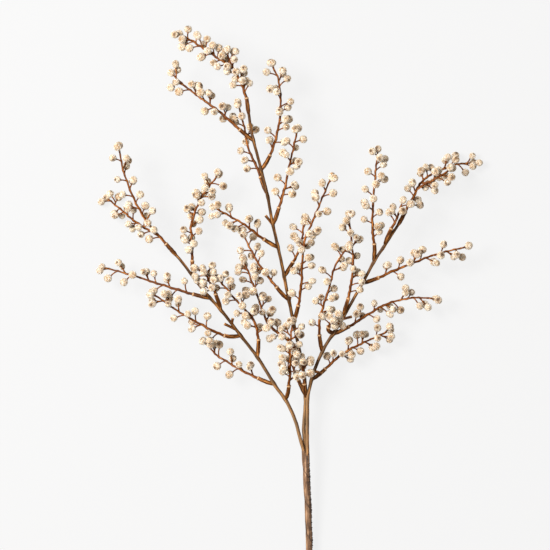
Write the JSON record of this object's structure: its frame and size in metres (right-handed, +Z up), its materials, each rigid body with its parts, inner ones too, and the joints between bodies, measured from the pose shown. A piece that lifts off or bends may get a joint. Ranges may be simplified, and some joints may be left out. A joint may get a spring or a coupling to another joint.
{
  "type": "wattle-style berry branch, made of felted balls on wired and taped stems",
  "caption": "Forked decorative branch lying on its back: a taped foot, wired stems and side sprigs tipped all along with round felted berries on thin stalks.",
  "frame": {"origin": "middle of the branch's bounding box, at the level of the surface it lies on", "axes": "+Y runs along the branch from its cut foot to its tips, +Z up from the surface, +X to the right seen from above"},
  "size_m": [0.4854, 0.7648, 0.1025],
  "materials": {
    "tape": "matt mottled brown paper tape",
    "stem": "moulded brown plastic with a soft sheen",
    "berry": "knobbly cream felt, darker in its pits"
  },
  "bodies": {
    "root": {"trunk_wrap": "tape", "left_stem": "stem", "middle_stem": "stem", "right_stem": "stem", "sprig_left_1": "berry", "sprig_left_2": "berry", "sprig_left_3": "berry", "sprig_left_4": "berry", "sprig_left_5": "berry", "sprig_left_6": "berry", "sprig_left_7": "berry", "sprig_left_tip": "berry", "sprig_middle_1": "berry", "sprig_middle_2": "berry", "sprig_middle_3": "berry", "sprig_middle_4": "berry", "sprig_middle_5": "berry", "sprig_middle_6": "berry", "sprig_middle_7": "berry", "sprig_middle_8": "berry", "sprig_middle_9": "berry", "sprig_middle_10": "berry", "sprig_middle_top": "berry", "sprig_centre": "berry", "sprig_right_1": "berry", "sprig_right_2": "berry", "sprig_right_3": "berry", "sprig_right_4": "berry", "sprig_right_5": "berry", "sprig_right_6": "berry", "sprig_right_7": "berry", "sprig_right_8": "berry", "sprig_right_tip": "berry"}
  },
  "joints": []
}
